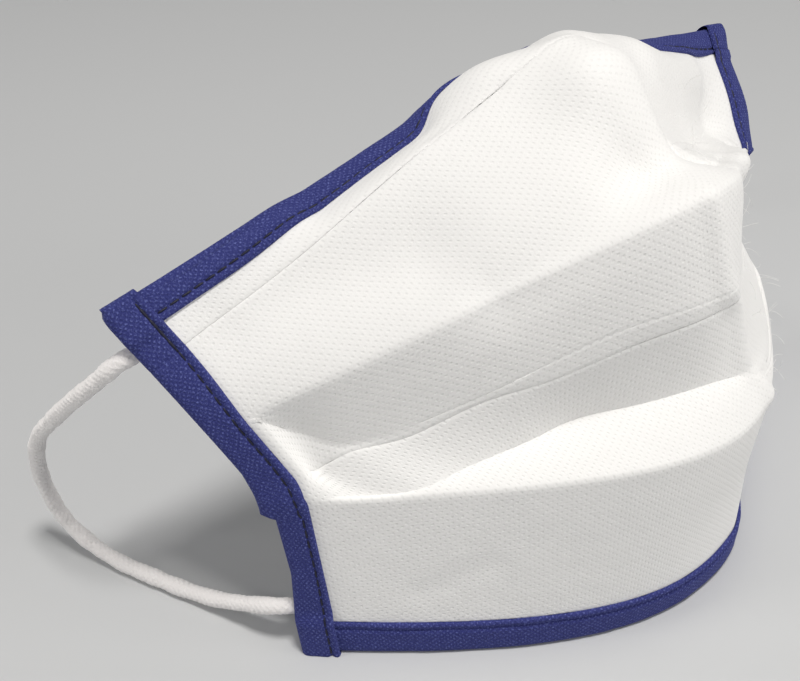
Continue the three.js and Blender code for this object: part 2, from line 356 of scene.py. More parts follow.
def fold_line(name, share):
    """Points of any fold."""
    return valley_line(name, share) if name in VALLEYS else ridge_line(name, share)


for name in VALLEYS:
    print(f"{name}: middle at {np.round(fold_line(name, np.zeros(1))[0], 1)} mm")

# %% [markdown]
# ## Panels between the folds
# Between two folds the cloth is a panel that is nearly flat. The strip above the nose fold swells
# into a roll in the middle. A fine grid is laid over all panels, with its rows closer together
# near the folds. Pressed folds in thick soft cloth are never knife sharp, so each column of the
# grid is then softened along its length: a point becomes the average of its neighbours. On the far
# half two folds are softer still, and the cloth is drawn in at the bend of the side and at the foot.

# %% Panels between the folds
PANELS = [
    dict(upper="top_edge", lower="nose_fold", rows=30, forwards=0, upwards=0, roll=4.6),
    dict(upper="nose_fold", lower="upper_ridge", rows=46, forwards=0, upwards=0, roll=0),
    dict(upper="upper_ridge", lower="upper_valley", rows=28, forwards=0, upwards=0, roll=0),
    dict(upper="upper_valley", lower="pressed_crease", rows=12, forwards=0, upwards=0, roll=0),
    dict(upper="pressed_crease", lower="lower_valley", rows=28, forwards=0, upwards=0, roll=0),
    dict(upper="lower_valley", lower="lower_ridge", rows=24, forwards=0, upwards=0.6, roll=0),
    dict(upper="lower_ridge", lower="hem", rows=42, forwards=0.4, upwards=0, roll=0),
]
FOLD_SOFTNESS = dict(top_edge=0.4, nose_fold=0.3, upper_ridge=0.9, upper_valley=0.6,
                     pressed_crease=0.3, lower_valley=0.3, lower_ridge=0.5, hem=0.4)
EVEN_ROWS = 0.35
ROLL_HEIGHTS = [(-0.29, 0), (-0.13, 1), (0, 0.5), (0.14, 1), (0.3, 0.9), (0.62, 0)]
PAST_EDGE = (2, 3)
FAR_TUCKS = [
    dict(shift=(-2.8, 3.6, 0), down=52, length=9, grows=(0.7, 0.96), fades=PAST_EDGE),
    dict(shift=(-3, 2.5, 0), down=88, length=22, grows=(0.15, 0.4), fades=(0.7, 0.95)),
]
FAR_FOLDS = [
    dict(fold="nose_fold", softness=0.8, rows=18),
    dict(fold="lower_valley", softness=4, rows=8),
]
FAR_HALF = (0.08, 0.3)
LEAST_SOFTNESS = 0.01
COLUMNS = 224


def eased_heights(stations, share):
    """Heights between stations of (share, height), smooth at each station and flat beyond them."""
    heights = np.full(share.shape, float(stations[0][1]))
    for (start, low), (end, high) in zip(stations, stations[1:]):
        heights += (high - low) * ease(start, end, share)
    return heights


def panel_points(panel, share):
    """Rows of points down a panel at each share."""
    step = np.linspace(0, 1, panel["rows"] + 1)
    down = EVEN_ROWS * step + (1 - EVEN_ROWS) * (1 - np.cos(np.pi * step)) / 2
    upper = fold_line(panel["upper"], share)[:, None]
    lower = fold_line(panel["lower"], share)[:, None]
    arch = 4 * down * (1 - down)
    swell = arch * (1 - share[:, None] ** 2) ** 2
    roll = eased_heights(ROLL_HEIGHTS, share)[:, None]
    points = upper + (lower - upper) * down[:, None]
    points[..., 1] -= swell * panel["forwards"]
    points[..., 2] += swell * panel["upwards"] + arch * roll * panel["roll"]
    return points


def soften(column, softness):
    """A line whose points are averaged with their neighbours, its ends held still."""
    run = distances(column)
    held = np.minimum(np.minimum(run, run[-1] - run) / 2, softness)
    weights = np.exp(-0.5 * ((run[:, None] - run) / np.maximum(held, LEAST_SOFTNESS)[:, None]) ** 2)
    weights *= np.gradient(run)
    return weights @ column / weights.sum(axis=1, keepdims=True)


shares = np.linspace(-1, 1, COLUMNS + 1)
panel_grids = [panel_points(panel, shares) for panel in PANELS]
sharp = np.concatenate([panel_grids[0]] + [grid[:, 1:] for grid in panel_grids[1:]], axis=1)
fold_rows = np.cumsum([0] + [panel["rows"] for panel in PANELS])
folds = [panel["upper"] for panel in PANELS] + ["hem"]
all_rows = np.arange(fold_rows[-1] + 1)
row_softness = np.interp(all_rows, fold_rows, [FOLD_SOFTNESS[fold] for fold in folds])
far_softness = row_softness.copy()
for soft in FAR_FOLDS:
    rows_off = (all_rows - fold_rows[folds.index(soft["fold"])]) / soft["rows"]
    far_softness += soft["softness"] * np.exp(-(rows_off ** 2))
far = ease(*FAR_HALF, shares)
cloth = np.array([soften(column, row_softness * (1 - part) + far_softness * part)
                  for column, part in zip(sharp, far)])
for tuck in FAR_TUCKS:
    across = ease(*tuck["grows"], shares) - ease(*tuck["fades"], shares)
    down = np.exp(-(((distances(sharp[-1]) - tuck["down"]) / tuck["length"]) ** 2))
    cloth += (across[:, None] * down)[..., None] * np.array(tuck["shift"])
print(f"cloth grid: {cloth.shape[0]} columns of {cloth.shape[1]} points")

# %% [markdown]
# ## Which way the cloth faces
# A dent moves the cloth along its normal. At a sharp ridge the normals fan out, and a dent along
# them would break the ridge open. So the normals are averaged over a few rows, and a dent then
# moves the ridge as a whole.

# %% Which way the cloth faces
CALM_ROWS = 8


def normals_of(grid):
    """Forward normals of a grid whose columns run left to right and rows downwards."""
    return unit(np.cross(np.gradient(grid, axis=1), np.gradient(grid, axis=0)))


def calm_normals(grid):
    """Normals averaged down the columns."""
    padded = np.pad(normals_of(grid), ((0, 0), (CALM_ROWS, CALM_ROWS), (0, 0)), mode="edge")
    steps = range(2 * CALM_ROWS + 1)
    return unit(sum(padded[:, step:step + grid.shape[1]] for step in steps))


dent_ways = calm_normals(cloth)
print(f"normals averaged over {2 * CALM_ROWS + 1} rows in each of {len(dent_ways)} columns")

# %% [markdown]
# ## Dents, wrinkles and pressed lines
# Real cloth sinks in soft valleys, wrinkles where it is bent and keeps fine lines where it was
# pressed. All of these are lines across the cloth, broad or fine. Each row of the table gives its
# marks, as a share across and a number of folds down, with its width and its height along the
# normal, which is negative for a dent.

# %% Dents, wrinkles and pressed lines
NOSE, RIDGE, VALLEY, CREASE, SHELF = range(1, 6)
RELIEF = [
    dict(path=[(-1, NOSE), (0.05, NOSE)], width=0.4, height=-0.3),
    dict(path=[(-0.6, VALLEY), (0.6, VALLEY)], width=0.35, height=-0.1),
    dict(path=[(-0.86, CREASE), (0.86, CREASE)], width=0.35, height=-0.2),
    dict(path=[(0, 1.3), (0.06, 1.3)], width=8, height=4.5),
    dict(path=[(-0.44, 1.95), (-0.06, 1.66)], width=7, height=-2),
    dict(path=[(-0.06, 1.66), (0.1, 1.68)], width=7, height=-3.5),
    dict(path=[(0.25, 1.7), (0.5, 1.75)], width=8, height=-2),
    dict(path=[(0.5, RIDGE), (0.66, RIDGE), (0.84, RIDGE)], width=5, height=3.4),
    dict(path=[(0.28, 1.83), (0.6, 1.83), (0.82, 1.85)], width=1.2, height=-0.7),
    dict(path=[(0.14, 1.15), (0.15, 1.4), (0.16, 1.62), (0.23, 1.82)], width=4.5, height=-6),
    dict(path=[(0.42, NOSE), (0.75, NOSE)], width=6, height=2),
    dict(path=[(-0.01, 2.1), (0, 2.5), (0.07, CREASE), (0.15, SHELF), (0.2, 5.9)],
         width=2.5, height=1),
    dict(path=[(-0.82, 1.15), (-0.5, 1.5)], width=10, height=-2.6),
    dict(path=[(0.28, 1.5), (0.8, 1.6)], width=11, height=-6),
    dict(path=[(1, 1.5), (1, 1.9)], width=12, height=3.5),
    dict(path=[(0.25, 2.65), (0.5, 2.7)], width=8, height=-2.5),
    dict(path=[(0.1, 6.5), (0.4, 6.4)], width=14, height=-1.2),
    dict(path=[(-0.73, 6.57), (-0.59, 6.45)], width=3, height=-0.3),
    dict(path=[(-0.3, 0.8), (-0.16, 0.95)], width=2, height=-0.5),
    dict(path=[(-0.52, 0.42), (-0.27, 0.4)], width=4.5, height=-2),
]
LEAST_POINTS = 12


def blend(first, second, share):
    return first + (second - first) * np.asarray(share)[..., None]


def line_on_cloth(grid, marks):
    """Points of the grid under marks that count columns across and folds down."""
    counts = np.maximum(LEAST_POINTS, np.abs(np.diff(marks[:, 0]))).astype(int)
    track = np.vstack([np.linspace(*pair, count, endpoint=False)
                       for *pair, count in zip(marks, marks[1:], counts)] + [marks[-1:]])
    column, row = track[:, 0], np.interp(track[:, 1], np.arange(len(fold_rows)), fold_rows)
    left, top = np.floor(column).astype(int), np.floor(row).astype(int)
    right = np.minimum(left + 1, COLUMNS)
    below = np.minimum(top + 1, fold_rows[-1])
    upper = blend(grid[left, top], grid[right, top], column - left)
    lower = blend(grid[left, below], grid[right, below], column - left)
    return blend(upper, lower, row - top)


def relief_heights(grid):
    """Height of all dents, wrinkles and lines at each point of the grid."""
    heights = np.zeros(grid.shape[:2])
    folds_down = np.interp(all_rows, fold_rows, np.arange(len(fold_rows)))
    for line in RELIEF:
        marks = np.array(line["path"], float)
        marks[:, 0] = np.round((marks[:, 0] + 1) / 2 * COLUMNS)
        path = line_on_cloth(grid, marks)
        nearest = np.clip(folds_down, marks[:, 1].min(), marks[:, 1].max())
        rows = np.flatnonzero(np.abs(folds_down - nearest) < 1)
        start, step = path[:-1], np.diff(path, axis=0)
        points = grid[:, rows].reshape(-1, 1, 3)
        along_step = np.clip(((points - start) * step).sum(-1) / (step ** 2).sum(-1), 0, 1)
        gap = np.linalg.norm(points - start - along_step[..., None] * step, axis=-1).min(axis=1)
        shape = np.exp(-((gap / line["width"]) ** 2)).reshape(len(grid), -1)
        heights[:, rows] += line["height"] * shape
    return heights


relief = relief_heights(cloth)
cloth = cloth + dent_ways * relief[..., None]
print(f"relief from {relief.min():.1f} to {relief.max():.1f} mm")

# %% [markdown]
# ## Walls
# Cloth and tape are thin walls. A Solidify modifier could thicken a sheet, but the inside of a
# folded tape differs from its outside, so a wall here is closed between two grids. Each front face
# also gets flat places in millimetres, which the embossed patterns follow.


# %% Walls
def wall_faces(columns, rows):
    """Faces of a closed wall whose front corners come first and its back corners next."""
    front = np.arange(columns * rows).reshape(columns, rows)
    back = front + columns * rows
    faces = [
        [front[:-1, :-1], front[:-1, 1:], front[1:, 1:], front[1:, :-1]],
        [back[:-1, :-1], back[1:, :-1], back[1:, 1:], back[:-1, 1:]],
        [front[:-1, 0], front[1:, 0], back[1:, 0], back[:-1, 0]],
        [front[:-1, -1], back[:-1, -1], back[1:, -1], front[1:, -1]],
        [front[0, :-1], back[0, :-1], back[0, 1:], front[0, 1:]],
        [front[-1, :-1], front[-1, 1:], back[-1, 1:], back[-1, :-1]],
    ]
    return [np.stack(face, axis=-1).reshape(-1, 4) for face in faces]


def corner_places(flat):
    """Flat places of the four corners of each front face, from a grid of flat places."""
    return np.stack([flat[:-1, :-1], flat[:-1, 1:], flat[1:, 1:], flat[1:, :-1]], axis=-2)


def wall_piece(name, front, back, front_places):
    """A closed wall between two grids, with flat places in millimetres for its patterns."""
    faces = wall_faces(*front.shape[:2])
    corners = np.vstack([front.reshape(-1, 3), back.reshape(-1, 3)])
    piece = mesh_piece(name, [(corners, np.vstack(faces).tolist())])
    front_places = front_places.reshape(-1, 4, 2)
    back_places = front_places[:, [0, 3, 2, 1]]
    rim_places = np.zeros((sum(len(rim) for rim in faces[2:]), 4, 2))
    places = np.concatenate([front_places, back_places, rim_places]).astype(np.float32)
    piece.data.uv_layers.new(name="flat_mm").uv.foreach_set("vector", places.ravel())
    return piece


print("faces of a test wall:", [len(faces) for faces in wall_faces(3, 2)])

# %% [markdown]
# ## The white cloth
# The cloth wall is the grid pushed out by half its thickness on both sides, and it ends under the
# tapes. The embossed dots run in rows along the folds, as they do in the roll that the cloth was
# cut from, so the flat places of each panel are counted down from the upper or the lower ridge.

# %% The white cloth
CLOTH_WALL = 1.0
EDGE_COLUMNS = 5
EDGE_ROWS = 5
DOTS_FROM_FOLD = ["upper_ridge"] * 4 + ["lower_ridge"] * 3

cloth_normals = normals_of(cloth)
lengths_down = np.array([distances(column) for column in cloth])
flat_across = np.broadcast_to(shares[:, None] * HALF_WIDTH, lengths_down.shape)
panel_places = []
for fold, first, last in zip(DOTS_FROM_FOLD, fold_rows, fold_rows[1:]):
    rows = slice(first, last + 1)
    flat_down = lengths_down - lengths_down[:, [fold_rows[folds.index(fold)]]]
    panel_places.append(corner_places(np.stack([flat_across, flat_down], axis=-1)[:, rows]))
cloth_places = np.concatenate(panel_places, axis=1)
inner_grid = np.s_[EDGE_COLUMNS:-EDGE_COLUMNS, EDGE_ROWS:-EDGE_ROWS]
pleated_cloth = wall_piece(
    "pleated_cloth",
    (cloth + cloth_normals * CLOTH_WALL / 2)[inner_grid],
    (cloth - cloth_normals * CLOTH_WALL / 2)[inner_grid],
    cloth_places[inner_grid],
)
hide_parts("mask_body")

# %% [markdown]
# ## The section of a tape
# A tape is a strip folded over the raw edge of the cloth and stitched through. Its section is a
# U that hugs the cloth: two legs, a round fold and soft turned-in edges, with a groove where the
# stitches pull it down. The section is drawn once, as distances inwards from the fold and heights
# above the cloth, and is placed all along the edge in the next step.

# %% The section of a tape
SEWING_GAP = 0.1
TAPE_WALL = 0.8
TAPE_SLOT = CLOTH_WALL / 2 + SEWING_GAP
EDGE_ROUND = 0.7
FOLD_ROUND = 1.8
ROUND_POINTS = 6
LEG_POINTS = 22
SEAM_INWARDS = 1.7
SEAM_DEPTH = 0.45
SEAM_WIDTH = 0.5


def tape_section(width):
    """Inward distances and heights of a tape's outside, from its front edge round the fold."""
    quarter = np.linspace(0, np.pi / 2, ROUND_POINTS)
    edge = width - EDGE_ROUND * (1 - np.cos(quarter))
    leg = np.linspace(edge[-1], FOLD_ROUND, LEG_POINTS)[1:-1]
    fold = FOLD_ROUND * (1 - np.sin(quarter))
    inwards = np.concatenate([edge, leg, fold])
    rise = np.concatenate([np.sin(quarter), np.ones(len(leg)), np.cos(quarter)])
    groove = SEAM_DEPTH * np.exp(-(((inwards - width + SEAM_INWARDS) / SEAM_WIDTH) ** 2))
    height = (TAPE_SLOT + TAPE_WALL) * rise - groove
    height[:len(edge)] = TAPE_SLOT + TAPE_WALL * rise[:len(edge)]
    return np.concatenate([inwards, inwards[-2::-1]]), np.concatenate([height, -height[-2::-1]])


print(f"tape section: {len(tape_section(SIDE_TAPE)[0])} points")

# %% [markdown]
# ## Laying a tape along an edge
# A tape follows lines that run inwards from the edge of the cloth, each with the cloth's normals,
# so it bends with every fold that it crosses. Its ends are rounded off by a few more lines that
# lead on past the edge while the section closes. A slow wave keeps it from looking machined, and
# whatever would reach below the floor is pressed flat on it.

# %% Laying a tape along an edge
SLOT_END = 1.0
TAPE_WAVE = 0.12
TAPE_WAVE_SIZE = 5
SPARE_CLOTH = 4
ON_FLOOR = 0.1
END_REACH = 0.9
END_STEPS = 4
END_THICKNESS = 0.1
INSIDE_SHARE = 0.98
END_TURNS = np.linspace(0, np.pi / 2, END_STEPS + 1)[1:]


def with_ends(values, first, last):
    """Values along a tape with more of them for its rounded ends."""
    return np.concatenate([first[::-1], values, last])


def held_ends(values):
    """Values along a tape that stay the same over its rounded ends."""
    return with_ends(values, values[[0] * END_STEPS], values[[-1] * END_STEPS])


def end_lines(end, before):
    """Copies of the end line of a tape that lead on past it, where its rounded end goes."""
    onwards = np.zeros_like(end)
    onwards[:, :3] = unit(end[:, :3] - before[:, :3])
    return end + onwards * END_REACH * np.sin(END_TURNS)[:, None, None]


def with_spare_cloth(lines):
    """Lines that start further out, for a fold that bulges past the edge of the cloth."""
    beyond = lines[:, :1].copy()
    beyond[..., :3] -= unit(lines[:, 1:2, :3] - lines[:, :1, :3]) * SPARE_CLOTH
    return np.concatenate([beyond, lines], axis=1)


def sections_of(lines, reaches):
    """Points and normals of lines at the distances that each one reaches."""
    sections = np.array([along(line, reach) for line, reach in zip(lines, reaches)])
    return sections[..., :3], unit(sections[..., 3:])


def tape_piece(name, node, lines, width, lift, drawn, turned, seed):
    """A tape over the start of the lines, which run inwards from the edge with their normals."""
    inwards, heights = tape_section(width)
    closing = with_ends(np.ones(len(lines)), np.cos(END_TURNS), np.cos(END_TURNS))[:, None]
    lift = held_ends(lift)[:, None]
    drawn = held_ends(drawn)[:, None]
    lines = with_ends(lines, end_lines(lines[0], lines[2]), end_lines(lines[-1], lines[-3]))
    lines = with_spare_cloth(lines)
    reaches = SPARE_CLOTH + drawn + inwards * (1 - drawn / width)
    points, ups = sections_of(lines, reaches)
    slot_end = reaches.min(axis=1, keepdims=True) + SLOT_END
    under, under_ups = sections_of(lines, np.maximum(reaches, slot_end))
    face = np.sign(heights)
    wave = TAPE_WAVE * lumps(points.reshape(-1, 3), TAPE_WAVE_SIZE, seed).reshape(points.shape[:2])
    thinning = END_THICKNESS + (1 - END_THICKNESS) * closing
    outside = (heights + face * lift + wave * np.abs(heights)) * thinning
    inside = (np.clip(heights, -TAPE_SLOT, TAPE_SLOT) + face * lift) * closing * INSIDE_SHARE
    front = points + ups * outside[..., None]
    back = under + under_ups * inside[..., None]
    front[..., 2] = np.maximum(front[..., 2], 0)
    back[..., 2] = np.maximum(back[..., 2], ON_FLOOR)
    middle_of_leg = len(inwards) // 4
    run = distances(points[:, middle_of_leg])
    around = distances(np.stack([inwards, heights, heights * 0], axis=-1))
    places = np.stack(np.meshgrid(run, around, indexing="ij"), axis=-1)
    leg = np.argmin(np.abs(inwards[:len(inwards) // 2] - width + SEAM_INWARDS))
    seams[name] = [front[END_STEPS:-END_STEPS, side] for side in (leg, -1 - leg)]
    if turned:
        front, back, places = front[::-1], back[::-1], places[::-1]
    piece = wall_piece(name, front, back, corner_places(places))
    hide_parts(node)
    return piece


seams = {}
cloth_lines = np.concatenate([cloth, cloth_normals], axis=-1)
print(f"lines for the tapes: {cloth_lines.shape[0]} down and {cloth_lines.shape[1]} across")

# %% [markdown]
# ## The four tapes
# The top and hem tapes are laid first. The side tapes cover their ends, so they are lifted there.
# At the bend of the side the tape is creased: its fold bulges out above the crease and is drawn in
# below it. Its top end is turned in and rounded. A table gives how far the fold is drawn in at a
# few distances down the side.

# %% The four tapes
TOP_TAPE = 7
HEM_TAPE = 8.6
REACH_ROWS = 60
LIFT_GAP = 0.15
LIFT_RUN = 2.5
CREASED_FOLD = [(0, 1), (1, 0.3), (2.5, 0), (40, 0), (44, -0.8), (48, -1.8), (50.4, -1.9),
                (51.4, 0.9), (66, 1.3), (77, 0)]

trimmed = cloth_lines[EDGE_COLUMNS:-EDGE_COLUMNS]
level = np.zeros(len(trimmed))
top_tape = tape_piece("top_edge_tape", "top_binding", trimmed[:, :REACH_ROWS],
                      TOP_TAPE, level, level, True, 3)
hem_tape = tape_piece("hem_tape", "hem_binding", trimmed[:, :-REACH_ROWS:-1],
                      HEM_TAPE, level, level, False, 4)
side_run = distances(cloth[0])
over_top = 1 - ease(TOP_TAPE, TOP_TAPE + LIFT_RUN, side_run)
over_hem = 1 - ease(HEM_TAPE, HEM_TAPE + LIFT_RUN, side_run[-1] - side_run)
side_lift = (TAPE_WALL + LIFT_GAP) * np.maximum(over_top, over_hem)
side_drawn = np.interp(side_run, *np.transpose(CREASED_FOLD))
rows_inwards = cloth_lines.swapaxes(0, 1)
left_tape = tape_piece("left_side_tape", "side_binding_left", rows_inwards[:, :REACH_ROWS],
                       SIDE_TAPE, side_lift, side_drawn, False, 5)
right_tape = tape_piece("right_side_tape", "side_binding_right", rows_inwards[:, :-REACH_ROWS:-1],
                        SIDE_TAPE, side_lift, side_drawn, True, 6)
bindings = [top_tape, hem_tape, left_tape, right_tape]

# %% [markdown]
# ## Seam stitches
# A sewing machine holds the top and side tapes with a row of lock stitches, close to the inner
# edge, front and back. Each stitch is a short piece of thread that dips into the cloth at both
# ends, so each is a short tube with a bent line. At the top of each side the machine has gone
# back over its own seam to lock it, so a second row fills the gaps of the first one there.
# Hundreds of stitches are joined to one mesh, which is quicker to draw than hundreds of objects.

# %% Seam stitches
STITCH_PITCH = 2.6
STITCH_LENGTH = 2.5
THREAD = 0.5
STITCH_DIP = 0.25
BACKSTITCH_LENGTH = 16
BACKSTITCH_THREAD = 0.7
BACKSTITCH_SPACING = 0.5
STITCH_RINGS = 7
STITCH_END = 0.05
THREAD_SIDES = 6

cloth_corners = cloth.reshape(-1, 3)


def nearest_cloth(point):
    """The point of the cloth's middle nearest to a point."""
    return cloth_corners[np.argmin(((cloth_corners - point) ** 2).sum(axis=1))]


def stitches(seam, thickness):
    """Tubes along a line on the outside of a tape, each dipping in at both ends."""
    length = distances(seam)[-1]
    steps = np.linspace(-1, 1, STITCH_RINGS)
    made = []
    for start in np.arange(STITCH_PITCH / 2, length - STITCH_PITCH, STITCH_PITCH):
        line = along(seam, start + STITCH_LENGTH * (steps + 1) / 2)
        middle = line.mean(axis=0)
        inside = unit(nearest_cloth(middle) - middle)
        line = line + inside * (STITCH_DIP * steps[:, None] ** 4)
        radius = thickness / 2 * np.sqrt(1 + STITCH_END - steps ** 4)[:, None]
        made.append(tube(line, radius, THREAD_SIDES))
    return made


sewn = []
for tape in (top_tape, left_tape, right_tape):
    for seam in seams[tape.name]:
        sewn += stitches(seam, THREAD)
backstitched = np.arange(STITCH_PITCH / 2, BACKSTITCH_LENGTH, BACKSTITCH_SPACING)
for tape in (left_tape, right_tape):
    for seam in seams[tape.name]:
        sewn += stitches(along(seam, backstitched), BACKSTITCH_THREAD)
thread = mesh_piece("seam_stitches", sewn)

# %% [markdown]
# ## Loose fibres
# Soft spun cloth sheds: here and there a fine fibre stands away from it and catches the light,
# most of all along an outline. Each is a very thin tube that leaves the cloth along its normal
# and curls over. A fixed seed places them, so that they are the same in every picture.

# %% Loose fibres
FIBRE_SEED = 11
FIBRE_COUNT = 60
FIBRE_COLUMNS = (135, 200)
FIBRE_ROWS = (40, fold_rows[-1] - 20)
FIBRE_ROOT = 0.45
FIBRE_SPREAD = 0.7
FIBRE_CURLS = (0.2, 0.5)
FIBRE_LENGTHS = (2.5, 6.5)
FIBRE_STEPS = 8
FIBRE_THICKNESS = 0.06
FIBRE_SIDES = 4


def fibre(chance):
    """A tube that leaves a chance point of the cloth and curls over."""
    column = chance.integers(*FIBRE_COLUMNS)
    row = chance.integers(*FIBRE_ROWS)
    normal = cloth_normals[column, row]
    way = unit(normal + FIBRE_SPREAD * chance.normal(size=3))
    curl = np.cross(way, unit(chance.normal(size=3))) * chance.uniform(*FIBRE_CURLS)
    step = chance.uniform(*FIBRE_LENGTHS) / FIBRE_STEPS
    line = [cloth[column, row] + normal * CLOTH_WALL * FIBRE_ROOT]
    for _ in range(FIBRE_STEPS):
        way = unit(way + curl)
        line.append(line[-1] + way * step)
    return tube(np.array(line), FIBRE_THICKNESS / 2, FIBRE_SIDES)


chance = np.random.default_rng(FIBRE_SEED)
loose_fibres = mesh_piece("loose_fibres", [fibre(chance) for _ in range(FIBRE_COUNT)])

# %% [markdown]
# ## Socket arithmetic for the finishes
# A finish is a small sum of patterns, and a sum is easiest to read as a sum. This class wraps one
# output of a node, so that Python's own operators add the Math nodes. Everything else comes from
# its node method, which takes the kind of node, its settings and then its inputs.

# %% Socket arithmetic for the finishes
COLOUR_A, COLOUR_B, COLOUR_RESULT = 6, 7, 2


class Wire:
    """An output of a material's node that can be calculated with."""

    def __init__(self, tree, socket=None):
        self.tree = tree
        self.socket = socket

    def node(self, kind, settings=None, inputs=None, output=0):
        """A new node, with its settings made first, then the values or links of its inputs."""
        made = self.tree.nodes.new(kind)
        for name, value in (settings or {}).items():
            setattr(made, name, value)
        for name, value in (inputs or {}).items():
            if isinstance(value, Wire):
                self.tree.links.new(value.socket, made.inputs[name])
            else:
                made.inputs[name].default_value = value
        return Wire(self.tree, made.outputs[output] if made.outputs else None)

    def math(self, operation, first, second):
        return self.node("ShaderNodeMath", {"operation": operation}, {0: first, 1: second})

    def __add__(self, other):
        return self.math("ADD", self, other)

    def __sub__(self, other):
        return self.math("SUBTRACT", self, other)

    def __rsub__(self, other):
        return self.math("SUBTRACT", other, self)

    def __mul__(self, other):
        return self.math("MULTIPLY", self, other)

    __radd__ = __add__
    __rmul__ = __mul__

    def between(self, low, high):
        """0 below low, 1 above high, and smooth between the two."""
        return self.node("ShaderNodeMapRange", {"interpolation_type": "SMOOTHSTEP"},
                         {"Value": self, "From Min": low, "From Max": high})

    def mixed(self, first, second):
        """The first colour where this is 0 and the second where it is 1."""
        return self.node("ShaderNodeMix", {"data_type": "RGBA"},
                         {"Factor": self, COLOUR_A: first, COLOUR_B: second}, COLOUR_RESULT)


print("operators ready: + - *")

# %% [markdown]
# ## Patterns for the finishes
# The finishes share a few patterns: a fine grain for fibres, a lattice of staggered dots for the
# embossing, and a bump that turns a height into a normal. The grain follows the solid piece. The
# dots follow the flat places of the cloth, so they bend with it.


# %% Patterns for the finishes
def new_finish(name):
    """An empty material and the wire that its nodes are made from."""
    material = bpy.data.materials.new(name)
    material.use_nodes = True
    material.node_tree.nodes.clear()
    return material, Wire(material.node_tree)


def surface(paint, **inputs):
    """The shader of a finish, with its inputs named as in Blender but with underscores."""
    shader = paint.node("ShaderNodeBsdfPrincipled", {},
                        {name.replace("_", " "): value for name, value in inputs.items()})
    paint.node("ShaderNodeOutputMaterial", {}, {"Surface": shader})


def grain(paint, scale, detail):
    """Smooth noise from 0 to 1 through the solid piece, with the scale in features per metre."""
    place = paint.node("ShaderNodeTexCoord", output="Object")
    return paint.node("ShaderNodeTexNoise", {},
                      {"Vector": place, "Scale": scale, "Detail": detail})


def dot_lattice(paint, pitch_across, pitch_down, core, edge):
    """1 on the dots of two crossed lattices over the flat places, and 0 between them."""
    place = paint.node("ShaderNodeUVMap", {"uv_map": "flat_mm"})
    pitch = (pitch_across, pitch_down, 0)
    per_pitch = (1 / pitch_across, 1 / pitch_down, 0)
    half_back = (-pitch_across / 2, -pitch_down / 2, 0)
    nearest = None
    for shift in (0.0, 0.5):
        cell = paint.node("ShaderNodeVectorMath", {"operation": "MULTIPLY_ADD"},
                          {0: place, 1: per_pitch, 2: (shift, shift, 0)})
        share = paint.node("ShaderNodeVectorMath", {"operation": "FRACTION"}, {0: cell})
        offset = paint.node("ShaderNodeVectorMath", {"operation": "MULTIPLY_ADD"},
                            {0: share, 1: pitch, 2: half_back})
        length = paint.node("ShaderNodeVectorMath", {"operation": "LENGTH"}, {0: offset}, "Value")
        nearest = length if nearest is None else paint.math("MINIMUM", nearest, length)
    return 1 - nearest.between(core, edge)


def bump(paint, height):
    """A normal from a height in millimetres."""
    return paint.node("ShaderNodeBump", {}, {"Height": height, "Distance": MM, "Strength": 1})


print("patterns ready: grain, dot_lattice and bump")

# %% [markdown]
# ## White embossed cloth
# The cloth is spun from fine white fibres that are melted together at small pits, in a staggered
# pattern that repeats every one and a half to two millimetres. Between the pits it is soft and
# fibrous. The pits are too many for geometry, so a lattice in the flat cloth coordinates makes them
# as bump, with a slightly darker and smoother bottom.

# %% White embossed cloth
PIT_ACROSS = 1.8
PIT_DOWN = 1.52
PIT_CORE = 0.08
PIT_EDGE = 0.38
CLOTH_FIBRES = 2600
CLOTH_CLOUDS = 90
CLOTH_LIGHT = (0.93, 0.925, 0.915, 1)
CLOTH_DARK = (0.62, 0.61, 0.6, 1)
CLOTH_DARKENING = dict(pits=0.06, clouds=0.05, fibres=0.05)
CLOTH_HEIGHTS = dict(pits=0.065, clouds=0.25, fibres=0.06)


def cloth_finish():
    """White fibres with embossed pits."""
    material, paint = new_finish("white_embossed_cloth")
    pits = dot_lattice(paint, PIT_ACROSS, PIT_DOWN, PIT_CORE, PIT_EDGE)
    fibres = grain(paint, CLOTH_FIBRES, 3)
    clouds = grain(paint, CLOTH_CLOUDS, 2)
    dark = pits * CLOTH_DARKENING["pits"] + (1 - clouds) * CLOTH_DARKENING["clouds"]
    dark = dark + (1 - fibres) * CLOTH_DARKENING["fibres"]
    height = fibres * CLOTH_HEIGHTS["fibres"] + clouds * CLOTH_HEIGHTS["clouds"]
    height = height - pits * CLOTH_HEIGHTS["pits"]
    surface(paint, Base_Color=dark.mixed(CLOTH_LIGHT, CLOTH_DARK), Roughness=0.92 - pits * 0.2,
            Sheen_Weight=0.15, Sheen_Roughness=0.6, Specular_IOR_Level=0.25,
            Normal=bump(paint, height))
    return material


white = cloth_finish()
for piece in (pleated_cloth, loose_fibres):
    piece.data.materials.append(white)
print("white cloth: pits", PIT_ACROSS, "by", PIT_DOWN, "mm")

# %% [markdown]
# ## Navy tape and its thread
# The tape is cut from the same kind of spun cloth, dyed navy and embossed with finer dots. Its
# fibres catch the light as pale specks, most of all on the dots. Dots and specks share one mix of
# two blues, so the tape stays dark between them. The thread is plain and nearly black, because it
# only has to read as a thin line.

# %% Navy tape and its thread
TAPE_DOT_ACROSS = 1.25
TAPE_DOT_DOWN = 1.1
TAPE_DOT_CORE = 0.1
TAPE_DOT_EDGE = 0.36
TAPE_FIBRES = 3200
TAPE_CLOUDS = 160
GLINTING = (0.35, 0.7)
SPECKLED = (0.45, 0.75)
NAVY = (0.032, 0.038, 0.17, 1)
PALE_NAVY = (0.15, 0.18, 0.48, 1)
THREAD_NAVY = (0.008, 0.009, 0.03, 1)
TAPE_PALENESS = dict(glint=0.6, specks=0.3)
TAPE_HEIGHTS = dict(dots=0.1, clouds=0.2, fibres=0.07)


